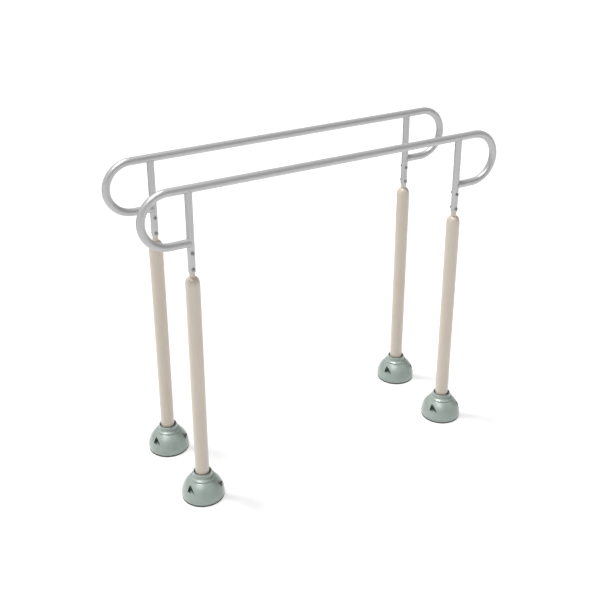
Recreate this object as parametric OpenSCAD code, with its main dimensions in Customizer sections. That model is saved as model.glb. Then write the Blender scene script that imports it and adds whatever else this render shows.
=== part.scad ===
// Parallel bars: two looped hand rails, each on two posts with domed foot covers.
// Millimetres, +Z up, X along the rails. The origin is on the ground, midway between the four posts.

/* [Rails] */
// Height of the rail's centre line above the ground
rail_height = 1500; // [1200:5:1700]
// Distance between the two rails, centre to centre
rail_gap = 418; // [400:1:700]
// Outer diameter of the rail tube
rail_d = 35; // [30:0.5:42]
// Wall of the rail tube
rail_wall = 2.5; // [1.5:0.1:4]
// Radius of the end bends, on the tube's centre line
bend_r = 117; // [80:1:150]
// Straight tube between the post's axis and the start of the bend
overhang = 90; // [60:1:150]

/* [Posts] */
// Distance along a rail between its two posts
post_pitch = 1335; // [900:5:1800]
// Outer diameter of the posts
post_d = 63.5; // [55:0.5:70]
// Wall of the posts and of the domed shoulders
post_wall = 3; // [2:0.5:4]
// Height of the post's top edge, where the shoulder starts
post_top = 1076; // [900:1:1080]
// Height of the domed shoulder
shoulder_h = 34; // [20:1:40]
// Outer diameter of the spigot that stands out of the shoulder
spigot_d = 25.4; // [22:0.2:26]
// Wall of the spigot
spigot_wall = 3; // [2:0.5:4]
// Outer diameter of the sleeve that is welded to the rail
sleeve_d = 31.8; // [31:0.1:34]
// Bore of the sleeve
sleeve_bore = 26.4; // [26.4:0.1:28]
// Bare spigot between the shoulder and the sleeve
neck_gap = 25; // [10:1:30]

/* [Foot covers] */
// Radius of the cover's dome
dome_r = 97.5; // [96:0.5:102]
// Height of the dome's centre above the ground, where the cover is widest
dome_z = 18; // [14:1:20]
// Wall of the cover
cover_wall = 4; // [3:0.5:4]
// Height of the collar's rim
collar_top = 130; // [126:1:134]
// Outer radius of the collar at its rim
collar_r = 43; // [41:0.5:44]
// Bore radius of the collar
collar_bore = 37.5; // [36:0.5:38]
// Height of the rubber edge
edge_h = 8; // [6:0.5:10]
// Direction of the first cover screw, from +X
pocket_turn = 80; // [0:1:119]
// Radius at which the corner of the pocket's V lies
pocket_apex = 70; // [69:0.5:71]
// Angle from the screw back to the corner of the V
pocket_skew = 8; // [7:0.5:9]
// Direction of the V's first wall, from the screw's own direction
pocket_lean = 5; // [3:1:8]
// Opening angle of the V
pocket_open = 67; // [62:1:72]
// Height of the pocket's floor
pocket_floor = 56; // [50:1:58]

/* [Base plates] */
// Radius of the base plate
plate_r = 88; // [87:0.5:89]
// Thickness of the base plate
plate_t = 8; // [6:0.5:8]
// Pitch circle diameter of the anchor holes
anchor_pcd = 130; // [124:1:136]
// Diameter of the anchor holes
anchor_d = 14; // [12:0.5:16]
// Height of the gussets above the plate
gusset_h = 38; // [25:1:40]
// Thickness of the gussets
gusset_t = 6; // [4:0.5:8]

/* [Fasteners] */
// Height of the upper sleeve bolt
bolt_high = 1223; // [1215:1:1230]
// Height of the lower sleeve bolt
bolt_low = 1150; // [1148:1:1160]
// Diameter of the sleeve bolts
bolt_d = 8; // [6:1:8]
// Diameter of the cover screws
screw_d = 5; // [4:0.5:5]

/* [Hidden] */
$fn = 96;
LEGS = ["front_left", "back_left", "front_right", "back_right"];
LEG_PARTS = ["post", "shoulder", "spigot", "sleeve", "bolts", "washers", "nuts", "base_plate",
             "gussets", "foot_cover", "cover_edge", "cover_screws"];

// The legs stand at these signs of X and Y, in the order of LEGS.
LEG_SIDES = [[-1, -1], [-1, 1], [1, -1], [1, 1]];

METAL = "#b3b4b4";
BEIGE = "#c8bdb0";
SAGE = "#9fb0a7";
ZINC = "#8f9190";
BLACK = "#4a504c";

lower_bar_z = rail_height - 2 * bend_r;
cope_start = 5;
sleeve_bottom = post_top + shoulder_h + neck_gap;
spigot_bottom = post_top - 76;
spigot_top = bolt_high + 23;
bolt_heights = [bolt_low, bolt_high];
bolt_clearance = 0.25;

washer_r = 8;
washer_out = sleeve_d / 2 + 2.1;
head_r = 7;
head_h = 4.4;
nut_across_flats = 13;
nut_h = 6.5;
thread_past_nut = 2;
head_lap = 0.5;

collar_foot = collar_top - 18;
edge_r = dome_r - 0.7;
pocket_wall = 3;
pocket_reach = 70;
pockets = [0, 120, 240];
screw_r = 81;
hollow_top = dome_z + dome_r - cover_wall - 10;
screw_head_r = 4.75;
screw_head_h = 3.2;
boss_r = 7;
boss_clearance = 0.3;
far = 2000;

// Places its children at one leg's axis on the ground.
module at_leg(i) {
    translate([LEG_SIDES[i][0] * post_pitch / 2, LEG_SIDES[i][1] * rail_gap / 2, 0]) children();
}

// A cylinder along X from x0 to x1 at height z.
module bar_x(x0, x1, z, r) {
    translate([x0, 0, z]) rotate([0, 90, 0]) cylinder(r = r, h = x1 - x0);
}

// A cylinder along Y from y0 to y1 at height z.
module bar_y(y0, y1, z, r) {
    translate([0, y0, z]) rotate([-90, 0, 0]) cylinder(r = r, h = y1 - y0);
}

// A tube's round wall from z0 to z1.
module pipe(z0, z1, outer_r, inner_r) {
    translate([0, 0, z0]) difference() {
        cylinder(r = outer_r, h = z1 - z0);
        translate([0, 0, -1]) cylinder(r = inner_r, h = z1 - z0 + 2);
    }
}

// Places its children once for each sleeve bolt.
module at_bolts() {
    for (z = bolt_heights) translate([0, 0, z]) children();
}

// Points of a quarter ellipse round (cx, cy), from its widest point (a0 = 0) up to its top (a1 = 90).
function ellipse(cx, cy, a, b, a0, a1, steps) =
    [for (i = [0:steps]) let (t = a0 + (a1 - a0) * i / steps) [cx + a * cos(t), cy + b * sin(t)]];

// ---- Rails ----

// The solid shape of one rail, as a bar of radius r that is bent back at both ends.
module rail_path(r) {
    straight = post_pitch / 2 + overhang;
    bar_x(-straight, straight, rail_height, r);
    for (side = [0, 1]) mirror([side, 0, 0]) {
        translate([straight, 0, rail_height - bend_r])
            rotate([90, 0, 0]) rotate([0, 0, -90])
                rotate_extrude(angle = 180) translate([bend_r, 0]) circle(r = r, $fn = 64);
        bar_x(post_pitch / 2 + cope_start, straight, lower_bar_z, r);
    }
}

// One rail: the top bar, two half-circle bends, and two lower bars that end against the sleeves.
module rail() {
    color(METAL) difference() {
        rail_path(rail_d / 2);
        rail_path(rail_d / 2 - rail_wall);
        for (x = [-1, 1]) translate([x * post_pitch / 2, 0, lower_bar_z - rail_d])
            cylinder(d = sleeve_d, h = 2 * rail_d);
    }
}

// ---- Posts ----

// The sleeve: it is shaped to fit under the rail, and takes the spigot from below.
module sleeve() {
    color(METAL) difference() {
        pipe(sleeve_bottom, rail_height, sleeve_d / 2, sleeve_bore / 2);
        bar_x(-far, far, rail_height, rail_d / 2);
        for (z = bolt_heights) bar_y(-sleeve_d, sleeve_d, z, bolt_d / 2 + bolt_clearance);
    }
}

module spigot() {
    color(BEIGE) difference() {
        pipe(spigot_bottom, spigot_top, spigot_d / 2, spigot_d / 2 - spigot_wall);
        for (z = bolt_heights) bar_y(-sleeve_d, sleeve_d, z, bolt_d / 2 + bolt_clearance);
    }
}

// The domed shoulder that closes the post down to the spigot.
module shoulder() {
    hole = spigot_d / 2;
    lip = hole + 1;
    outer = ellipse(lip, post_top, post_d / 2 - lip, shoulder_h, 0, 90, 20);
    inner = ellipse(hole, post_top, post_d / 2 - post_wall - hole, shoulder_h - post_wall, 0, 90, 20);
    color(BEIGE) rotate_extrude()
        polygon(concat(outer, [[hole, post_top + shoulder_h]], [for (i = [20:-1:0]) inner[i]]));
}

module post() {
    color(BEIGE) pipe(plate_t, post_top, post_d / 2, post_d / 2 - post_wall);
}

// ---- Base plates ----

// The round plate that is anchored to the ground, with tapped holes for the cover screws.
module base_plate() {
    color(BEIGE) difference() {
        cylinder(r = plate_r, h = plate_t);
        for (a = pockets) rotate(pocket_turn + a) {
            translate([screw_r, 0, -1]) cylinder(r = screw_d / 2 + bolt_clearance, h = plate_t + 2);
            rotate(60) translate([anchor_pcd / 2, 0, -1]) cylinder(d = anchor_d, h = plate_t + 2);
        }
    }
}

// Three upright triangles between the post and the plate.
module gussets() {
    reach = post_d / 2 + gusset_h - 8;
    color(BEIGE) difference() {
        for (a = pockets) rotate(pocket_turn + a)
            translate([0, gusset_t / 2, plate_t]) rotate([90, 0, 0]) linear_extrude(gusset_t)
                polygon([[post_d / 2 - 2, 0], [reach, 0], [reach, 6],
                         [post_d / 2 + 6, gusset_h], [post_d / 2 - 2, gusset_h]]);
        cylinder(d = post_d, h = far);
    }
}

// ---- Foot covers ----

// The outline of the cover's outside: base, dome, stepped ring and collar.
function cover_outline() = concat(
    [[0, edge_h], [edge_r, edge_h]],
    ellipse(0, dome_z, dome_r, dome_r, 0, 54.5, 22),
    [[56.2, 102], [55.2, 105.5], [53, 108], [collar_r + 3, collar_foot - 1.5], [collar_r + 1.5, collar_foot]],
    [[collar_r + 0.2, collar_top - 1], [collar_r - 1, collar_top], [0, collar_top]]
);

// The outline of the space inside the cover, under the collar.
function cover_hollow() = concat(
    [[0, edge_h - 1], [edge_r - cover_wall, edge_h - 1]],
    ellipse(0, dome_z, dome_r - cover_wall, dome_r - cover_wall, 0, 60, 22),
    [[collar_bore, hollow_top], [0, hollow_top]]
);

// A unit vector in the XY plane.
function toward(angle) = [cos(angle), sin(angle)];

// An upright wedge that opens outwards, with its corner moved in by wall to give that wall thickness.
module wedge(wall, z) {
    middle = toward(pocket_lean + pocket_open / 2);
    corner = pocket_apex * toward(-pocket_skew) - wall / sin(pocket_open / 2) * middle;
    first = corner + pocket_reach * toward(pocket_lean);
    second = corner + pocket_reach * toward(pocket_lean + pocket_open);
    translate([0, 0, z]) linear_extrude(collar_top) polygon([corner, first, second]);
}

// The domed cover with its three screw pockets. It fits loosely round the post.
module foot_cover() {
    boss_z = plate_t + boss_clearance;
    color(SAGE) difference() {
        union() {
            difference() {
                rotate_extrude() polygon(cover_outline());
                rotate_extrude() polygon(cover_hollow());
            }
            intersection() {
                rotate_extrude() polygon(cover_outline());
                for (a = pockets) rotate(pocket_turn + a) wedge(pocket_wall, pocket_floor - pocket_wall);
            }
            for (a = pockets) rotate(pocket_turn + a) translate([screw_r, 0, boss_z])
                cylinder(r = boss_r, h = pocket_floor - boss_z);
        }
        for (a = pockets) rotate(pocket_turn + a) {
            wedge(0, pocket_floor);
            translate([screw_r, 0, 0]) cylinder(r = screw_d / 2 + bolt_clearance, h = pocket_floor + 1);
        }
        cylinder(r = collar_bore, h = far);
    }
}

// The rubber edge under the cover, which rests on the ground.
module cover_edge() {
    color(BLACK) pipe(0, edge_h, edge_r, edge_r - cover_wall - 1.5);
}

// ---- Fasteners ----

// Two button-head bolts with hexagon sockets, through the sleeve and the spigot.
module bolts() {
    end = washer_out + nut_h + thread_past_nut;
    color(ZINC) at_bolts() difference() {
        union() {
            bar_y(-washer_out - head_lap, end, 0, bolt_d / 2);
            translate([0, -washer_out, 0]) rotate([90, 0, 0]) rotate_extrude()
                polygon(concat([[0, 0]], ellipse(0, 0.8, head_r, head_h - 0.8, 0, 65, 10), [[0, head_h - 1]]));
        }
        translate([0, -washer_out - 1, 0]) rotate([90, 0, 0]) cylinder(d = 5.8, h = head_h, $fn = 6);
    }
}

// Saddle washers: flat on the outside, and hollowed to lie on the round sleeve.
module washers() {
    color(ZINC) at_bolts() for (side = [0, 1]) mirror([0, side, 0]) difference() {
        bar_y(sleeve_d / 2 - 3, washer_out, 0, washer_r);
        bar_y(0, far, 0, bolt_d / 2 + bolt_clearance);
        translate([0, 0, -far / 2]) cylinder(d = sleeve_d, h = far);
    }
}

module nuts() {
    color(ZINC) at_bolts() translate([0, washer_out, 0]) rotate([-90, 0, 0]) difference() {
        cylinder(d = nut_across_flats / cos(30), h = nut_h, $fn = 6);
        translate([0, 0, -1]) cylinder(d = bolt_d + 0.1, h = nut_h + 2);
    }
}

// Three captive pan-head screws that hold the cover down.
module cover_screws() {
    tip = 1;
    color(ZINC) for (a = pockets) rotate(pocket_turn + a) translate([screw_r, 0, tip]) difference() {
        union() {
            cylinder(d = screw_d, h = pocket_floor - tip + head_lap);
            translate([0, 0, pocket_floor - tip]) rotate_extrude()
                polygon(concat([[0, 0]], ellipse(0, 0.6, screw_head_r, screw_head_h - 0.6, 0, 90, 8)));
        }
        translate([0, 0, pocket_floor - tip + 1.2]) cylinder(d = 3.4, h = screw_head_h, $fn = 6);
    }
}

// ---- Assembly ----

translate([0, -rail_gap / 2, 0]) rail();  // front_rail
translate([0, rail_gap / 2, 0]) rail();  // back_rail
for (i = [0:3]) {
    at_leg(i) post();
    at_leg(i) shoulder();
    at_leg(i) spigot();
    at_leg(i) sleeve();
    at_leg(i) bolts();
    at_leg(i) washers();
    at_leg(i) nuts();
    at_leg(i) base_plate();
    at_leg(i) gussets();
    at_leg(i) foot_cover();
    at_leg(i) cover_edge();
    at_leg(i) cover_screws();
}
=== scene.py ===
"""The looks of the parallel bars: studio, camera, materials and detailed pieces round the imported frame.

Metres, +Z up, X along the rails. Pieces of a leg are built round the leg's axis and then put in place.
"""
from math import asin, cos, pi, radians, sin, sqrt, tan

import bpy
from mathutils import Matrix, Vector


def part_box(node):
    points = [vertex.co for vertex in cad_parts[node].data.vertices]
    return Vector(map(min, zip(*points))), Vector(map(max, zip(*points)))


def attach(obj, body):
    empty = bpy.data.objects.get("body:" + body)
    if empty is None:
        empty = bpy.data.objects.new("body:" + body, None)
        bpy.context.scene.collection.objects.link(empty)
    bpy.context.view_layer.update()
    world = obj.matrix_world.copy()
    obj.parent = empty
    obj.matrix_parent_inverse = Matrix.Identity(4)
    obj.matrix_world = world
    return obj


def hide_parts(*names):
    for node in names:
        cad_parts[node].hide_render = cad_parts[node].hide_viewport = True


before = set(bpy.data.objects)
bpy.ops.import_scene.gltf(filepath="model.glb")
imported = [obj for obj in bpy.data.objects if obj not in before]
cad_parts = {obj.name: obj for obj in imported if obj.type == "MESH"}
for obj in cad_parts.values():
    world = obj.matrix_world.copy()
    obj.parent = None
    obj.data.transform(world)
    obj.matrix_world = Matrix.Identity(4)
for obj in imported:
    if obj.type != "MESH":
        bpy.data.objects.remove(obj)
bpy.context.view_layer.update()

MM = 0.001
LEGS = ("front_left", "back_left", "front_right", "back_right")
RAILS = {"front_rail": ("front_left", "front_right"), "back_rail": ("back_left", "back_right")}


# ---- Sizes, from the frame ----

def centre(node):
    low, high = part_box(node)
    return (low + high) / 2


def extent(node):
    low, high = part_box(node)
    return high - low


LEG_AT = {leg: Vector((centre(leg + "_post").x, centre(leg + "_post").y, 0)) for leg in LEGS}

rail_low, rail_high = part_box("front_rail")
RAIL_R = (rail_high.y - rail_low.y) / 2
RAIL_Z = rail_high.z - RAIL_R
BAR_Z = rail_low.z + RAIL_R
BEND_R = (RAIL_Z - BAR_Z) / 2
STRAIGHT = rail_high.x - RAIL_R - BEND_R

POST_R = extent("front_left_post").x / 2
POST_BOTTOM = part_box("front_left_post")[0].z
POST_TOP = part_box("front_left_post")[1].z
SHOULDER_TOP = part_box("front_left_shoulder")[1].z
SPIGOT_R = extent("front_left_spigot").x / 2
SPIGOT_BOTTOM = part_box("front_left_spigot")[0].z
SPIGOT_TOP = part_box("front_left_spigot")[1].z
SLEEVE_R = extent("front_left_sleeve").x / 2
SLEEVE_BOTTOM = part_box("front_left_sleeve")[0].z
WALL = 3 * MM
SLEEVE_BORE_R = SPIGOT_R + 0.5 * MM

HEAD_R = extent("front_left_bolts").x / 2
BOLT_R = 4 * MM
BOLT_HEIGHTS = (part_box("front_left_bolts")[0].z + HEAD_R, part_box("front_left_bolts")[1].z - HEAD_R)
BOLT_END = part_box("front_left_bolts")[1].y - LEG_AT["front_left"].y
WASHER_OUT = extent("front_left_washers").y / 2
HEAD_H = LEG_AT["front_left"].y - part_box("front_left_bolts")[0].y - WASHER_OUT
NUT_H = extent("front_left_nuts").y
NUT_FLAT = (extent("front_left_nuts").z - (BOLT_HEIGHTS[1] - BOLT_HEIGHTS[0])) / 2

COVER_R = extent("front_left_foot_cover").x / 2
COVER_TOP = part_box("front_left_foot_cover")[1].z
EDGE_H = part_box("front_left_foot_cover")[0].z
EDGE_R = extent("front_left_cover_edge").x / 2
DOME_Z = 18 * MM
COVER_WALL = 4 * MM
COLLAR_R = 43 * MM
COLLAR_BORE = 37.5 * MM
COLLAR_FOOT = COVER_TOP - 18 * MM
DOME_TOP = 97 * MM
CORE_TOP = 95 * MM
SCREW_TURNS = [radians(80 + 120 * i) for i in range(3)]
SCREW_AT = 81 * MM
SCREW_HEAD_R = 4.75 * MM
SCREW_HEAD_H = 3.2 * MM
POCKET_APEX = 70 * MM
POCKET_SKEW = radians(8)
POCKET_WALLS = (radians(5), radians(72))
POCKET_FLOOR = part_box("front_left_cover_screws")[1].z - SCREW_HEAD_H
PLATE_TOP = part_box("front_left_base_plate")[1].z


# ---- Materials ----

class Nodes:
    """A material's node tree, with short calls for the nodes that the materials below share."""

    def __init__(self, name, grain):
        self.material = bpy.data.materials.new(name)
        self.material.use_nodes = True
        self.tree = self.material.node_tree
        self.shader = self.tree.nodes["Principled BSDF"]
        if grain:
            node = self.add("ShaderNodeAttribute", attribute_name="grain")
            self.place = node.outputs["Vector"]
        else:
            self.place = self.add("ShaderNodeTexCoord").outputs["Object"]

    def add(self, kind, **settings):
        node = self.tree.nodes.new(kind)
        for key, value in settings.items():
            setattr(node, key, value)
        return node

    def link(self, source, target):
        self.tree.links.new(source, target)

    def noise(self, across, along, detail=3.0, rough=0.55):
        """Noise with marks 1/across metres wide, and 1/along metres long on the grain's third axis."""
        stretch = self.add("ShaderNodeVectorMath", operation="MULTIPLY")
        stretch.inputs[1].default_value = (across, across, along)
        self.link(self.place, stretch.inputs[0])
        noise = self.add("ShaderNodeTexNoise")
        noise.inputs["Scale"].default_value = 1.0
        noise.inputs["Detail"].default_value = detail
        noise.inputs["Roughness"].default_value = rough
        self.link(stretch.outputs[0], noise.inputs["Vector"])
        return noise.outputs["Fac"]

    def ramp(self, value, *stops):
        """A colour ramp over value, with (place, colour) stops. A colour may be one grey number."""
        ramp = self.add("ShaderNodeValToRGB")
        elements = ramp.color_ramp.elements
        while len(elements) < len(stops):
            elements.new(0.5)
        for element, (place, colour) in zip(elements, stops):
            grey = isinstance(colour, (int, float))
            element.position = place
            element.color = (colour,) * 3 + (1,) if grey else tuple(colour) + (1,)
        self.link(value, ramp.inputs["Fac"])
        return ramp.outputs["Color"]

    def mix(self, share, first, second, blend="MIX"):
        mix = self.add("ShaderNodeMix", data_type="RGBA", blend_type=blend)
        for socket, value in ((mix.inputs["Factor"], share), (mix.inputs[6], first), (mix.inputs[7], second)):
            if hasattr(value, "links"):
                self.link(value, socket)
            else:
                socket.default_value = value if isinstance(value, (int, float)) else tuple(value) + (1,)
        return mix.outputs[2]

    def bump(self, height, distance, strength=1.0, under=None):
        bump = self.add("ShaderNodeBump")
        bump.inputs["Strength"].default_value = strength
        bump.inputs["Distance"].default_value = distance
        self.link(height, bump.inputs["Height"])
        if under is not None:
            self.link(under, bump.inputs["Normal"])
        return bump.outputs["Normal"]

    def finish(self, colour, rough, normal, **values):
        """Links colour, roughness and normal to the shader, and sets its other sockets, named in capitals."""
        self.link(colour, self.shader.inputs["Base Color"])
        self.link(rough, self.shader.inputs["Roughness"])
        self.link(normal, self.shader.inputs["Normal"])
        for name, value in values.items():
            self.shader.inputs[name.replace("_", " ").title().replace("Ior", "IOR")].default_value = value
        return self.material


def shade(colour, factor):
    return tuple(c * factor for c in colour)


def satin_steel(name, colour, grain=True, rough=(0.34, 0.46)):
    """Steel tube with a satin finish: fine streaks along the tube, and slow cloudy changes of gloss."""
    n = Nodes(name, grain)
    streaks = n.noise(2600, 22, 4)
    clouds = n.noise(18, 7, 2)
    tone = n.ramp(streaks, (0.3, shade(colour, 0.95)), (0.7, shade(colour, 1.05)))
    cloudy = n.ramp(clouds, (0.3, 0.96), (0.7, 1.03))
    fine = n.ramp(streaks, (0.3, rough[0]), (0.7, rough[1]))
    broad = n.ramp(clouds, (0.3, rough[1]), (0.7, rough[0]))
    surface = n.bump(streaks, 0.012 * MM, 0.6)
    return n.finish(n.mix(1.0, tone, cloudy, "MULTIPLY"), n.mix(0.5, fine, broad), surface, metallic=0.5)


def powder_coat(name, colour, grain=True):
    """Powder coat: an even colour with slow drifts, and a fine orange-peel surface."""
    n = Nodes(name, grain)
    drift = n.noise(14, 3, 2)
    peel = n.noise(420, 420, 2, 0.4)
    speck = n.noise(2400, 2400, 2)
    tone = n.ramp(drift, (0.3, shade(colour, 0.975)), (0.7, shade(colour, 1.02)))
    speckled = n.ramp(speck, (0.35, 0.985), (0.65, 1.01))
    gloss = n.ramp(peel, (0.3, 0.34), (0.7, 0.42))
    return n.finish(n.mix(1.0, tone, speckled, "MULTIPLY"), gloss, n.bump(peel, 0.02 * MM, 0.3),
                    coat_weight=0.4, coat_roughness=0.15)


def moulded_plastic(name, colour):
    """Sage-green moulding: faint flow marks, a fine spark-eroded grain, and a satin shine."""
    n = Nodes(name, True)
    flow = n.noise(26, 11, 3)
    spark = n.noise(1500, 1500, 3)
    scuffs = n.noise(70, 260, 5, 0.7)
    tone = n.ramp(flow, (0.3, shade(colour, 0.94)), (0.5, colour), (0.72, shade(colour, 1.05)))
    scuffed = n.ramp(scuffs, (0.62, 0.0), (0.74, 0.28))
    gloss = n.mix(0.35, n.ramp(flow, (0.3, 0.40), (0.7, 0.32)), n.ramp(scuffs, (0.5, 0.3), (0.75, 0.62)))
    worn = n.mix(scuffed, tone, shade(colour, 1.14))
    return n.finish(worn, gloss, n.bump(spark, 0.02 * MM, 0.4), coat_weight=0.6, coat_roughness=0.3)


def edge_rubber(name, colour):
    """Black rubber with a dusty bloom and a fine matt grain."""
    n = Nodes(name, True)
    bloom = n.noise(120, 60, 4)
    grit = n.noise(1800, 1800, 2)
    tone = n.ramp(bloom, (0.35, colour), (0.7, shade(colour, 1.6)))
    return n.finish(tone, n.ramp(bloom, (0.3, 0.62), (0.7, 0.8)), n.bump(grit, 0.06 * MM, 0.6))


def fastener_steel(name, colour, grain=True):
    """Bare or plated fastener steel, with small handling marks."""
    n = Nodes(name, grain)
    marks = n.noise(600, 600, 4, 0.7)
    tone = n.ramp(marks, (0.3, shade(colour, 0.85)), (0.7, shade(colour, 1.1)))
    gloss = n.ramp(marks, (0.3, 0.24), (0.7, 0.42))
    return n.finish(tone, gloss, n.bump(marks, 0.02 * MM, 0.4), metallic=0.95)


def weld_metal(name, colour):
    """Weld bead: brushed clean, a little duller than the tube, with faint heat colour."""
    n = Nodes(name, True)
    heat = n.noise(160, 160, 3)
    straw = (colour[0] * 1.02, colour[1] * 0.95, colour[2] * 0.86)
    tone = n.ramp(heat, (0.3, shade(colour, 0.82)), (0.6, colour), (0.8, straw))
    return n.finish(tone, n.ramp(heat, (0.3, 0.4), (0.7, 0.55)), n.bump(heat, 0.05 * MM, 0.5), metallic=0.8)


STEEL_GREY = (0.485, 0.485, 0.485)
BEIGE = (0.612, 0.535, 0.452)
SAGE = (0.30, 0.363, 0.33)
RUBBER = (0.045, 0.052, 0.048)
ZINC = (0.27, 0.275, 0.28)
# Black-oxide screw colour, also kept this dark so the screw heads paint shade in the pockets.
BLACK_OXIDE_AND_SHADE = (0.06, 0.065, 0.065)
RECESS_SHADE = 0.2  # the pocket walls' colour as a share of the cover's, to stand for deep shade

steel = satin_steel("satin_steel", STEEL_GREY)
beige = powder_coat("beige_powder_coat", BEIGE)
sage = moulded_plastic("sage_moulding", SAGE)
# The cover's material darkened by RECESS_SHADE: painted shade for the pocket walls.
sage_pocket_painted_shade = moulded_plastic("sage_pocket_painted_shade", shade(SAGE, RECESS_SHADE))
sage_floor = moulded_plastic("sage_floor", SAGE)
rubber = edge_rubber("black_rubber", RUBBER)
zinc = fastener_steel("fastener_steel", ZINC)
black_screw_and_shade = fastener_steel("black_oxide_and_shade", BLACK_OXIDE_AND_SHADE)
weld = weld_metal("weld_metal", shade(STEEL_GREY, 0.95))
beige_plate = powder_coat("beige_plate", shade(BEIGE, 0.92), grain=False)
zinc_washer = fastener_steel("washer_steel", shade(ZINC, 1.15), grain=False)


# ---- Mesh building ----

class Shape:
    """The vertices, faces and grain places (across, across, along) of one piece, gathered solid by solid."""

    def __init__(self):
        self.verts, self.faces, self.grain = [], [], []

    def add(self, verts, faces, place=None, grain=None):
        base = len(self.verts)
        self.verts += [place @ Vector(v) if place else Vector(v) for v in verts]
        self.faces += [[base + i for i in face] for face in faces]
        self.grain += [Vector(g) for g in (grain or verts)]
        return self

    def mesh(self, name, shift):
        mesh = bpy.data.meshes.new(name)
        mesh.from_pydata([tuple(v) for v in self.verts], [], self.faces)
        mesh.validate()
        set_grain(mesh, [g + shift for g in self.grain])
        return mesh


def set_grain(mesh, places):
    """Stores each vertex's place in the material's grain, for the Attribute node."""
    attribute = mesh.attributes.get("grain") or mesh.attributes.new("grain", "FLOAT_VECTOR", "POINT")
    attribute.data.foreach_set("vector", [c for place in places for c in place])


def smooth(mesh, angle=32):
    mesh.shade_smooth()
    mesh.set_sharp_from_angle(angle=radians(angle))


def lathe(profile, steps=64, closed=False):
    """Verts and faces of (radius, height) points turned round Z.

    The profile runs anticlockwise, up the outside. Unless it is closed, it starts and ends on the axis.
    """
    verts, rings = [], []
    for r, z in profile:
        count = steps if r > 1e-9 else 1
        rings.append(range(len(verts), len(verts) + count))
        verts += [(r * cos(2 * pi * i / steps), r * sin(2 * pi * i / steps), z) for i in range(count)]
    faces = []
    for low, high in zip(rings, list(rings[1:]) + ([rings[0]] if closed else [])):
        for i in range(steps):
            j = (i + 1) % steps
            corners = (low[i % len(low)], low[j % len(low)], high[j % len(high)], high[i % len(high)])
            faces.append(list(dict.fromkeys(corners)))
    return verts, faces


def fillet(points, steps=5):
    """Rounds the corners of a closed outline of (radius, height, corner radius) points."""
    outline = []
    for i, (x, y, r) in enumerate(points):
        corner = Vector((x, y))
        if r == 0:
            outline.append((x, y))
            continue
        before = Vector(points[i - 1][:2]) - corner
        after = Vector(points[(i + 1) % len(points)][:2]) - corner
        half = before.angle(after) / 2
        reach = min(r / tan(half), before.length * 0.49, after.length * 0.49)
        a, b = corner + before.normalized() * reach, corner + after.normalized() * reach
        for k in range(steps + 1):
            t = k / steps
            outline.append(tuple(a * (1 - t) ** 2 + corner * 2 * t * (1 - t) + b * t ** 2))
    return outline


def tube_profile(r_in, r_out, z0, z1, edge):
    """The closed outline of a tube's wall, with its corners rounded to the radius edge."""
    return fillet([(r_in, z0, edge), (r_out, z0, edge), (r_out, z1, edge), (r_in, z1, edge)], 3)


def sweep(path, radius, sides, side, closed=False):
    """Verts, faces and grain of a round bar along path.

    radius(i) is its radius at point i, and side(p) is a direction across the path at p.
    """
    verts, grain, faces, along = [], [], [], 0
    count = len(path)
    for i, p in enumerate(path):
        ahead = path[(i + 1) % count] if closed or i < count - 1 else p
        behind = path[i - 1] if closed or i > 0 else p
        t = (ahead - behind).normalized()
        n = side(p) - t * side(p).dot(t)
        n.normalize()
        b = t.cross(n)
        along += (p - behind).length if i else 0
        for k in range(sides):
            a = 2 * pi * k / sides
            verts.append(p + (n * cos(a) + b * sin(a)) * radius(i))
            grain.append(Vector((radius(i) * cos(a), radius(i) * sin(a), along)))
    for i in range(count if closed else count - 1):
        for k in range(sides):
            j, m = (i + 1) % count, (k + 1) % sides
            faces.append([i * sides + k, i * sides + m, j * sides + m, j * sides + k])
    if not closed:
        faces.append(list(range(sides))[::-1])
        faces.append(list(range((count - 1) * sides, count * sides)))
    return verts, faces, grain


def weld_bead(path, radius, side, ripple=1.9 * MM):
    """A closed weld bead along path, with its ripples about the length ripple apart."""
    length = sum((path[i] - path[i - 1]).length for i in range(len(path)))
    ripples = round(length / ripple)
    count = len(path)

    def size(i):
        return radius * (1 + 0.09 * abs(sin(pi * ripples * i / count)))
    return sweep(path, size, 10, side, closed=True)


# ---- Putting pieces in place ----

def put(name, mesh, material, body, nodes=(), at=(0, 0, 0)):
    """Makes mesh a piece that rides on body, takes its finish from material, and stands for the CAD nodes."""
    mesh.materials.append(material)
    obj = bpy.data.objects.new(name, mesh)
    bpy.context.scene.collection.objects.link(obj)
    obj.location = at
    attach(obj, body)
    if nodes:
        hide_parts(*nodes)
    return obj


def put_shape(name, shape, material, body, nodes=(), at=(0, 0, 0), angle=32):
    """Makes a Shape a piece. Its grain starts at a place of its own, so no two legs show the same marks."""
    shift = Vector((0.37, 0.21, 0.53)) * (1 + sum(map(ord, name)) % 17)
    mesh = shape.mesh(name, shift)
    smooth(mesh, angle)
    return put(name, mesh, material, body, nodes, at)


# ---- Rails ----

COPE_MIN = 5 * MM
COPE_SINK = 0.4 * MM
BEND_STEPS = 40


def sleeve_face(y):
    """How far from a sleeve's axis, along X, a lower bar ends at the distance y from the rail's plane."""
    return sqrt(max(SLEEVE_R ** 2 - y ** 2, COPE_MIN ** 2))


def rail_path(y, post_x):
    """The rail's centre line, from the left lower bar's end over the top bar to the right one's."""
    mid = (RAIL_Z + BAR_Z) / 2
    half = []
    for k in range(BEND_STEPS + 1):
        a = pi / 2 - pi * k / BEND_STEPS
        half.append(Vector((STRAIGHT + BEND_R * cos(a), y, mid + BEND_R * sin(a))))
    half.append(Vector((post_x + SLEEVE_R, y, BAR_Z)))
    left = [Vector((-p.x, p.y, p.z)) for p in reversed(half)]
    top = [Vector((STRAIGHT * s, y, RAIL_Z)) for s in (-0.6, -0.2, 0.2, 0.6)]
    return left + top + half


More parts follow.
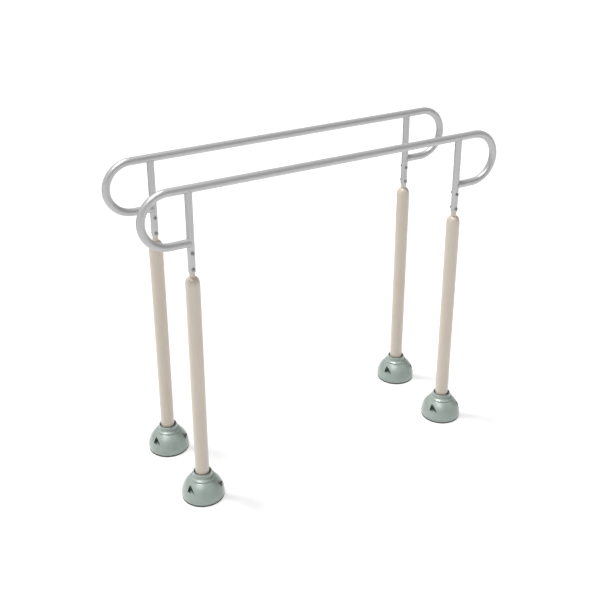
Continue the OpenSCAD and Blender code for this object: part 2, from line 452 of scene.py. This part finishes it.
def make_rail(node, legs):
    y, post_x = LEG_AT[legs[1]].y, LEG_AT[legs[1]].x
    sides = 56
    verts, faces, grain = sweep(rail_path(y, post_x), lambda i: RAIL_R, sides, lambda p: Vector((0, 1, 0)))
    for ring, side in ((verts[:sides], -1), (verts[-sides:], 1)):
        for v in ring:
            v.x = side * (post_x + sleeve_face(v.y - y) - COPE_SINK)
    shape = Shape().add(verts, faces, grain=grain)
    put_shape(node + "_tube", shape, steel, "frame", [node], angle=50)


def make_rail_welds(leg):
    """The beads where the sleeve meets the rail above it, and where the lower bar meets the sleeve."""
    outward = 1 if LEG_AT[leg].x > 0 else -1
    turns = [2 * pi * i / 120 for i in range(120)]
    top, bar = [], []
    for a in turns:
        y = SLEEVE_R * sin(a)
        top.append(Vector((SLEEVE_R * cos(a), y, RAIL_Z - sqrt(RAIL_R ** 2 - y ** 2))))
        y = RAIL_R * sin(a)
        bar.append(Vector((outward * sleeve_face(y), y, BAR_Z + RAIL_R * cos(a))))
    shape = Shape()
    verts, faces, grain = weld_bead(top, 1.5 * MM, lambda p: Vector((p.x, p.y, 0)))
    shape.add(verts, faces, grain=grain)
    verts, faces, grain = weld_bead(bar, 1.7 * MM, lambda p: Vector((0, p.y, p.z - BAR_Z)))
    shape.add(verts, faces if outward > 0 else [f[::-1] for f in faces], grain=grain)
    put_shape(leg + "_rail_welds", shape, weld, "frame", at=LEG_AT[leg], angle=60)


# ---- Posts ----

def make_sleeve(leg):
    """The sleeve's wall, with a rounded lower lip and a top that is shaped to the rail's underside."""
    profile = tube_profile(SLEEVE_BORE_R, SLEEVE_R, SLEEVE_BOTTOM, RAIL_Z, 0.5 * MM)
    verts, faces = lathe(profile, 56, closed=True)
    for i, (x, y, z) in enumerate(verts):
        if z > BAR_Z:
            verts[i] = (x, y, RAIL_Z - sqrt(RAIL_R ** 2 - min(abs(y), RAIL_R) ** 2) + 0.3 * MM)
    shape = Shape().add(verts, faces)
    put_shape(leg + "_sleeve_tube", shape, steel, "frame", [leg + "_sleeve"], LEG_AT[leg])


def make_spigot(leg):
    profile = tube_profile(SPIGOT_R - WALL, SPIGOT_R, SPIGOT_BOTTOM, SPIGOT_TOP, 0.6 * MM)
    shape = Shape().add(*lathe(profile, 48, closed=True))
    put_shape(leg + "_spigot_tube", shape, beige, "frame", [leg + "_spigot"], LEG_AT[leg])


def quarter(r0, r1, z0, z1, steps):
    """Points of a quarter ellipse from (r0, z0), where it stands upright, to (r1, z1), where it lies flat."""
    turns = [pi / 2 * i / steps for i in range(steps + 1)]
    return [(r1 + (r0 - r1) * cos(a), z0 + (z1 - z0) * sin(a)) for a in turns]


def make_shoulder(leg):
    """The domed shoulder, with a small fillet of weld round the spigot at its top."""
    lip = SPIGOT_R + 1 * MM
    neck_weld = [(SPIGOT_R + 0.5 * MM, SHOULDER_TOP + 0.5 * MM), (SPIGOT_R, SHOULDER_TOP + 1.6 * MM)]
    outside = quarter(POST_R, lip, POST_TOP, SHOULDER_TOP, 28) + neck_weld
    inside = quarter(POST_R - WALL, SPIGOT_R, POST_TOP, SHOULDER_TOP - WALL, 20)
    shape = Shape().add(*lathe(outside + inside[::-1], 72, closed=True))
    put_shape(leg + "_shoulder_dome", shape, beige, "frame", [leg + "_shoulder"], LEG_AT[leg], 50)


def make_post(leg):
    bore = POST_R - WALL
    profile = [(bore, POST_BOTTOM), (POST_R, POST_BOTTOM), (POST_R, POST_TOP), (bore, POST_TOP)]
    shape = Shape().add(*lathe(profile, 72, closed=True))
    put_shape(leg + "_post_tube", shape, beige, "frame", [leg + "_post"], LEG_AT[leg])


# ---- Bolts and nuts ----

def hexagon(angle, across_flats):
    """The radius of a hexagon at an angle, with corners at 0, 60, 120 and so on."""
    return across_flats / 2 / cos((angle % (pi / 3)) - pi / 6)


def ring_stack(rings):
    """Verts and faces of a solid from rings of points, all of one count, closed at both ends."""
    verts = [v for ring in rings for v in ring]
    n = len(rings[0])
    faces = [[k * n + i, k * n + (i + 1) % n, (k + 1) * n + (i + 1) % n, (k + 1) * n + i]
             for k in range(len(rings) - 1) for i in range(n)]
    return verts, faces + [list(range(n))[::-1], [len(verts) - n + i for i in range(n)]]


def ring(radius, z, steps):
    """One ring of points; radius and z may depend on the angle."""
    turns = [2 * pi * i / steps for i in range(steps)]
    size = radius if callable(radius) else lambda a: radius
    level = z if callable(z) else lambda a: z
    return [(size(a) * cos(a), size(a) * sin(a), level(a)) for a in turns]


def button_head(head_r, head_h, socket, depth, steps=48):
    """A domed bolt head on z = 0, with a hexagon socket across flats socket."""
    def socket_r(a):
        return hexagon(a, socket)
    rim = 0.8 * MM
    rings = [ring(head_r - 0.3 * MM, 0, steps), ring(head_r, 0.3 * MM, steps), ring(head_r, rim, steps)]
    for k in range(1, 9):
        a = radians(66) * k / 8
        rings.append(ring(head_r * cos(a), rim + (head_h - rim) * sin(a) / sin(radians(66)), steps))
    rings.append(ring(lambda a: socket_r(a) + 0.35 * MM, head_h, steps))
    rings.append(ring(socket_r, head_h - 0.35 * MM, steps))
    rings.append(ring(socket_r, head_h - depth, steps))
    rings.append(ring(0.4 * MM, head_h - depth - 0.5 * MM, steps))
    return ring_stack(rings)


def thread(r, z0, z1, pitch, steps=32, per_turn=10):
    """A threaded rod from z0 to z1, with its crests at the radius r."""
    depth = 0.55 * pitch
    levels = int((z1 - z0) / pitch * per_turn)
    rings = [ring(r - depth, z0, steps)]
    for k in range(levels + 1):
        z = z0 + (z1 - z0) * k / levels
        fade = min(1, (z1 - z) / (0.8 * pitch))

        def size(a, z=z, fade=fade):
            wave = abs(((z / pitch - a / (2 * pi)) % 1) * 2 - 1)
            return r - depth * (1 - wave * fade)
        rings.append(ring(size, z, steps))
    return ring_stack(rings)


def hex_nut(across_flats, height, bore, steps=72):
    """A nut on z = 0 with chamfered corners on both faces and a countersunk bore."""
    flat = across_flats / 2 * 0.96

    def corner(a):
        return hexagon(a, across_flats)

    def drop(a):
        return max(0, corner(a) - flat) * tan(radians(30))
    sink = 0.5 * MM
    rings = [
        ring(bore + sink, 0, steps), ring(flat, 0, steps), ring(corner, drop, steps),
        ring(corner, lambda a: height - drop(a), steps), ring(flat, height, steps),
        ring(bore + sink, height, steps), ring(bore, height - sink, steps), ring(bore, sink, steps)]
    verts, faces = ring_stack(rings)
    n, last = steps, len(rings) - 1
    faces = faces[:-2] + [[last * n + i, last * n + (i + 1) % n, (i + 1) % n, i] for i in range(n)]
    return verts, faces


def make_bolts(leg):
    """Two button-head bolts, pointing across the bars, with the thread that shows past the nut."""
    shape = Shape()
    for i, z in enumerate(BOLT_HEIGHTS):
        spin = Matrix.Rotation(0.4 + 0.5 * i, 4, "Z")
        place = Matrix.Translation((0, -WASHER_OUT, z)) @ Matrix.Rotation(pi / 2, 4, "X") @ spin
        shape.add(*button_head(HEAD_R, HEAD_H, 5 * MM, 2.6 * MM), place=place)
        place = Matrix.Translation((0, 0, z)) @ Matrix.Rotation(-pi / 2, 4, "X")
        shape.add(*ring_stack([ring(BOLT_R, -WASHER_OUT, 32), ring(BOLT_R, WASHER_OUT, 32)]), place=place)
        shape.add(*thread(BOLT_R, WASHER_OUT, BOLT_END, 1.25 * MM), place=place)
    put_shape(leg + "_button_bolts", shape, zinc, "frame", [leg + "_bolts"], LEG_AT[leg], 40)


def make_nuts(leg):
    shape = Shape()
    for i, z in enumerate(BOLT_HEIGHTS):
        spin = Matrix.Rotation(0.25 * i, 4, "Z")
        place = Matrix.Translation((0, WASHER_OUT, z)) @ Matrix.Rotation(-pi / 2, 4, "X") @ spin
        shape.add(*hex_nut(2 * NUT_FLAT, NUT_H, BOLT_R), place=place)
    put_shape(leg + "_hex_nuts", shape, zinc, "frame", [leg + "_nuts"], LEG_AT[leg], 25)


# ---- Foot covers ----

def dome_arc(r, z_end, steps):
    """Points up a dome of radius r round (0, DOME_Z), from where it is widest to the height z_end."""
    end = (z_end - DOME_Z) / r
    last = pi / 2 if end >= 1 else asin(end)
    return [(r * cos(last * i / steps), DOME_Z + r * sin(last * i / steps)) for i in range(steps + 1)]


def cover_solid():
    """The cover's outside as a filled solid: base, dome, groove, stepped ring, ledge and collar."""
    dome = dome_arc(COVER_R, DOME_TOP, 44)
    crown = fillet([
        (56.0 * MM, 97.2 * MM, 0), (55.6 * MM, 97.4 * MM, 0.5 * MM), (56.4 * MM, 98.6 * MM, 0.6 * MM),
        (56.2 * MM, 104.6 * MM, 2.2 * MM), (COLLAR_R + 4.5 * MM, COLLAR_FOOT - 2.6 * MM, 3 * MM),
        (COLLAR_R + 1.5 * MM, COLLAR_FOOT + 1 * MM, 2 * MM), (COLLAR_R, COVER_TOP, 1.6 * MM),
        (0, COVER_TOP, 0)])
    return [(0, EDGE_H), (EDGE_R - 0.6 * MM, EDGE_H), (EDGE_R, EDGE_H + 0.8 * MM)] + dome + crown


def cover_hollow():
    """The space inside the cover, below the collar."""
    top = DOME_Z + COVER_R - COVER_WALL - 10 * MM
    dome = dome_arc(COVER_R - COVER_WALL, top - 3 * MM, 30)
    return [(0, -EDGE_H), (EDGE_R - COVER_WALL, -EDGE_H)] + dome + [(COLLAR_BORE, top), (0, top)]


def cover_core():
    """A filled dome that ends inside the cover's wall, so what is clipped to it can't show outside."""
    return [(0, DOME_Z)] + dome_arc(COVER_R - COVER_WALL / 2, CORE_TOP, 40) + [(0, CORE_TOP)]


def temp(name, shape):
    obj = bpy.data.objects.new(name, shape.mesh(name, Vector((0, 0, 0))))
    bpy.context.scene.collection.objects.link(obj)
    return obj


def combine(target, tool, operation):
    """Applies one exact boolean to target, and removes tool."""
    modifier = target.modifiers.new("cut", "BOOLEAN")
    modifier.operation, modifier.object, modifier.solver = operation, tool, "EXACT"
    apply_modifiers(target)
    bpy.data.objects.remove(tool)


def apply_modifiers(obj):
    graph = bpy.context.evaluated_depsgraph_get()
    graph.update()
    mesh = bpy.data.meshes.new_from_object(obj.evaluated_get(graph))
    obj.modifiers.clear()
    obj.data = mesh


def toward(angle):
    return Vector((cos(angle), sin(angle)))


def wedge(wall, z, apex_r):
    """Three upright wedges that open outwards, one for each pocket, their inner corner rounded to apex_r."""
    shape = Shape()
    reach = 70 * MM
    first, second = POCKET_WALLS
    middle, half = (first + second) / 2, (second - first) / 2
    corner = toward(-POCKET_SKEW) * POCKET_APEX - toward(middle) * wall / sin(half)
    hub = corner + toward(middle) * apex_r / sin(half)
    arc = [second + pi / 2 + (pi - 2 * half) * k / 8 for k in range(9)]
    plan = [corner + toward(second) * reach] + [hub + toward(a) * apex_r for a in arc]
    plan.append(corner + toward(first) * reach)
    low = [(p.x, p.y, z) for p in plan]
    high = [(p.x, p.y, COVER_TOP + 20 * MM) for p in plan]
    for turn in SCREW_TURNS:
        shape.add(*ring_stack([low, high]), place=Matrix.Rotation(turn, 4, "Z"))
    return shape


def posts_at(radius, z0, z1, out, steps=32):
    """Three upright cylinders, one at each pocket, at the distance out from the leg's axis."""
    shape = Shape()
    for turn in SCREW_TURNS:
        place = Matrix.Rotation(turn, 4, "Z") @ Matrix.Translation((out, 0, 0))
        shape.add(*ring_stack([ring(radius, z0, steps), ring(radius, z1, steps)]), place=place)
    return shape


def cover_mesh():
    """The cover as one mesh: dome shell, pocket walls and screw bosses, less the pockets and bores."""
    steps = 144
    wall = 3 * MM
    cover = temp("cover", Shape().add(*lathe(cover_solid(), steps)))
    walls = temp("walls", Shape().add(*lathe(cover_core(), steps)))
    combine(walls, temp("wedges", wedge(wall, POCKET_FLOOR - wall, 3 * MM + wall)), "INTERSECT")
    combine(cover, temp("hollow", Shape().add(*lathe(cover_hollow(), steps))), "DIFFERENCE")
    combine(cover, walls, "UNION")
    boss_low = PLATE_TOP + 0.3 * MM
    combine(cover, temp("bosses", posts_at(7 * MM, boss_low, POCKET_FLOOR - 1 * MM, SCREW_AT)), "UNION")
    combine(cover, temp("pockets", wedge(0, POCKET_FLOOR, 3 * MM)), "DIFFERENCE")
    combine(cover, temp("screw_holes", posts_at(2.75 * MM, 0, POCKET_FLOOR + 1 * MM, SCREW_AT)), "DIFFERENCE")
    bore_low, bore_high, flare = 60 * MM, COVER_TOP + 1 * MM, 1.2 * MM
    bore = fillet([(0, bore_low, 0), (COLLAR_BORE, bore_low, 0), (COLLAR_BORE, COVER_TOP - flare, 1 * MM),
                   (COLLAR_BORE + flare, bore_high, 0), (0, bore_high, 0)])
    combine(cover, temp("bore", Shape().add(*lathe(bore, steps))), "DIFFERENCE")
    bevel = cover.modifiers.new("soft_edges", "BEVEL")
    bevel.width, bevel.segments, bevel.limit_method, bevel.angle_limit = 0.9 * MM, 2, "ANGLE", radians(38)
    bevel.use_clamp_overlap = True
    apply_modifiers(cover)
    mesh = cover.data
    bpy.data.objects.remove(cover)
    return mesh


def make_cover(leg, mesh):
    """A leg's cover, with a darkened copy of its material on the pockets' walls as painted shade, and a
    material of its own, of the cover's colour, on their floors.
    """
    name = leg + "_dome_cover"
    mesh = mesh.copy()
    mesh.name = name
    shift = LEG_AT[leg] * 3
    set_grain(mesh, [v.co + shift for v in mesh.vertices])
    smooth(mesh, 30)
    put(name, mesh, sage, leg + "_cover", [leg + "_foot_cover"], LEG_AT[leg])
    mesh.materials.append(sage_pocket_painted_shade)
    mesh.materials.append(sage_floor)
    skin, slack, inner = 1.2 * MM, 0.2 * MM, 60 * MM
    # Faces inside the pockets: walls get the darkened copy (painted shade), floors get sage_floor, of the
    # cover's own colour.
    for face in mesh.polygons:
        p = face.center
        under_skin = (p - Vector((0, 0, DOME_Z))).length < COVER_R - skin
        if under_skin and POCKET_FLOOR - slack < p.z < CORE_TOP and p.xy.length > inner:
            face.material_index = 2 if face.normal.z > 0.7 else 1


def make_edge(leg):
    """The rubber edge: a bead that is a little fuller at the ground."""
    inner = EDGE_R - COVER_WALL - 1.5 * MM
    profile = fillet([(inner, 0, 0.8 * MM), (EDGE_R, 0, 1.6 * MM), (EDGE_R, EDGE_H * 0.6, 1.2 * MM),
                      (EDGE_R - 0.9 * MM, EDGE_H, 0.5 * MM), (inner, EDGE_H, 0.5 * MM)])
    shape = Shape().add(*lathe(profile, 120, closed=True))
    nodes = [leg + "_cover_edge"]
    put_shape(leg + "_rubber_edge", shape, rubber, leg + "_cover", nodes, LEG_AT[leg])


def make_screws(leg):
    """Three captive screws, each with a low domed head on its pocket's floor."""
    shape = Shape()
    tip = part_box(leg + "_cover_screws")[0].z
    for i, turn in enumerate(SCREW_TURNS):
        spin = Matrix.Rotation(0.7 * i + 0.3, 4, "Z")
        place = Matrix.Rotation(turn, 4, "Z") @ Matrix.Translation((SCREW_AT, 0, 0)) @ spin
        head = place @ Matrix.Translation((0, 0, POCKET_FLOOR))
        shape.add(*button_head(SCREW_HEAD_R, SCREW_HEAD_H, 3 * MM, 1.8 * MM, 36), place=head)
        shape.add(*thread(2.5 * MM, tip, POCKET_FLOOR, 0.8 * MM, 20, 6), place=place)
    nodes = [leg + "_cover_screws"]
    # The screws' dark colour is black oxide, and also painted shade in the pockets.
    put_shape(leg + "_pan_screws", shape, black_screw_and_shade, leg + "_cover", nodes, LEG_AT[leg], 40)


# ---- Base plates ----

def make_base(leg):
    """Gives the CAD plate, gussets and washers their finish, and the post its weld to the plate."""
    finishes = {"_base_plate": beige_plate, "_gussets": beige_plate, "_washers": zinc_washer}
    for ending, material in finishes.items():
        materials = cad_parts[leg + ending].data.materials
        materials.clear()
        materials.append(material)
    turns = [2 * pi * i / 160 for i in range(160)]
    path = [Vector((POST_R * cos(a), POST_R * sin(a), PLATE_TOP)) for a in turns]
    verts, faces, grain = weld_bead(path, 2.2 * MM, lambda p: Vector((p.x, p.y, 0)), 2.6 * MM)
    shape = Shape().add(verts, faces, grain=grain)
    put_shape(leg + "_base_weld", shape, beige, "frame", at=LEG_AT[leg], angle=60)


# ---- Studio ----

KEY_FROM = Vector((-0.183, 0.159, 0.970))
GLINT_FROM = Vector((-0.400, -0.290, 0.869))
DIM_SIDE = Vector((0.38, -0.82, 0.42))
KEY_ENERGY, KEY_SPREAD = 2.4, radians(7)
GLINT_ENERGY, GLINT_SPREAD = 1.5, radians(36)
FLOOR_HALF = 60
FLOOR_DROP = 0.4 * MM
FLOOR_GREY = 0.48
FLOOR_GLOW = 0.6
CARD_GREY = 0.02
CARD_LEFT, CARD_RIGHT, CARD_Y, CARD_TOP = -4.2, 0.9, 2.2, 1.2


def make_world():
    """A soft surround: bright at the horizon, dimmer overhead and to the right. The camera sees it white."""
    world = bpy.data.worlds.new("studio")
    world.use_nodes = True
    tree = world.node_tree

    def ramp(value, *stops):
        node = tree.nodes.new("ShaderNodeValToRGB")
        for element, (place, grey) in zip(node.color_ramp.elements, stops):
            element.position, element.color = place, (grey, grey, grey, 1)
        tree.links.new(value, node.inputs["Fac"])
        return node.outputs["Color"]

    where = tree.nodes.new("ShaderNodeTexCoord").outputs["Generated"]
    parts = tree.nodes.new("ShaderNodeSeparateXYZ")
    tree.links.new(where, parts.inputs[0])
    facing = tree.nodes.new("ShaderNodeVectorMath")
    facing.operation = "DOT_PRODUCT"
    facing.inputs[1].default_value = DIM_SIDE
    tree.links.new(where, facing.inputs[0])
    dim = tree.nodes.new("ShaderNodeMix")
    dim.data_type, dim.blend_type = "RGBA", "MULTIPLY"
    dim.inputs["Factor"].default_value = 1
    tree.links.new(ramp(parts.outputs["Z"], (0, 0.76), (1, 0.66)), dim.inputs[6])
    tree.links.new(ramp(facing.outputs["Value"], (0.1, 1.0), (0.95, 0.44)), dim.inputs[7])
    soft = tree.nodes["Background"]
    tree.links.new(dim.outputs[2], soft.inputs["Color"])
    white = tree.nodes.new("ShaderNodeBackground")
    white.inputs["Color"].default_value = (1, 1, 1, 1)
    path = tree.nodes.new("ShaderNodeLightPath")
    mix = tree.nodes.new("ShaderNodeMixShader")
    tree.links.new(path.outputs["Is Camera Ray"], mix.inputs["Fac"])
    tree.links.new(soft.outputs[0], mix.inputs[1])
    tree.links.new(white.outputs[0], mix.inputs[2])
    tree.links.new(mix.outputs[0], tree.nodes["World Output"].inputs["Surface"])
    return world


def add_sun(name, toward_light, energy, spread):
    light = bpy.data.lights.new(name, "SUN")
    light.energy, light.angle = energy, spread
    lamp = bpy.data.objects.new(name, light)
    lamp.rotation_euler = (-toward_light).to_track_quat("-Z", "Y").to_euler()
    bpy.context.scene.collection.objects.link(lamp)
    return lamp


def stage_plane(name, corners, grey):
    """A four-cornered sheet that belongs to the studio, and its shader."""
    mesh = bpy.data.meshes.new(name)
    mesh.from_pydata(corners, [], [(0, 1, 2, 3)])
    material = bpy.data.materials.new(name)
    material.use_nodes = True
    shader = material.node_tree.nodes["Principled BSDF"]
    shader.inputs["Base Color"].default_value = (grey, grey, grey, 1)
    mesh.materials.append(material)
    plane = bpy.data.objects.new(name, mesh)
    bpy.context.scene.collection.objects.link(plane)
    return plane, shader


def make_studio():
    """A pale floor, a white surround and a key light.

    A second light gives highlights only, and a dark card behind the object shows only in reflections.
    """
    far = FLOOR_HALF
    floor, shader = stage_plane(
        "floor", [(-far, -far, 0), (far, -far, 0), (far, far, 0), (-far, far, 0)], FLOOR_GREY)
    floor.location.z = -FLOOR_DROP
    shader.inputs["Roughness"].default_value = 0.9
    shader.inputs["Specular IOR Level"].default_value = 0.1
    shader.inputs["Emission Color"].default_value = (1, 1, 1, 1)
    shader.inputs["Emission Strength"].default_value = FLOOR_GLOW

    card = stage_plane("dark_card", [
        (CARD_LEFT, CARD_Y, 0), (CARD_RIGHT, CARD_Y, 0),
        (CARD_RIGHT, CARD_Y, CARD_TOP), (CARD_LEFT, CARD_Y, CARD_TOP)], CARD_GREY)[0]
    card.visible_camera = False
    card.visible_diffuse = False
    card.visible_shadow = False

    bpy.context.scene.world = make_world()
    add_sun("key", KEY_FROM, KEY_ENERGY, KEY_SPREAD)
    glint = add_sun("glint", GLINT_FROM, GLINT_ENERGY, GLINT_SPREAD)
    glint.visible_diffuse = False
    bpy.context.scene.view_settings.view_transform = "Standard"


def make_camera():
    """A camera in front to the left, well above the rails, looking down at the object."""
    data = bpy.data.cameras.new("camera")
    data.sensor_width = 36
    data.lens = 59.19
    data.shift_x = -0.0078
    data.shift_y = -0.1
    camera = bpy.data.objects.new("camera", data)
    camera.location = (-2.0192, -3.5909, 2.9153)
    camera.rotation_euler = (radians(90 - 24.263), 0, radians(-28.929))
    bpy.context.scene.collection.objects.link(camera)
    bpy.context.scene.camera = camera


make_camera()
make_studio()
for rail_node, rail_legs in RAILS.items():
    make_rail(rail_node, rail_legs)
shared_cover = cover_mesh()
for leg_name in LEGS:
    make_rail_welds(leg_name)
    make_sleeve(leg_name)
    make_spigot(leg_name)
    make_shoulder(leg_name)
    make_post(leg_name)
    make_bolts(leg_name)
    make_nuts(leg_name)
    make_cover(leg_name, shared_cover)
    make_edge(leg_name)
    make_screws(leg_name)
    make_base(leg_name)
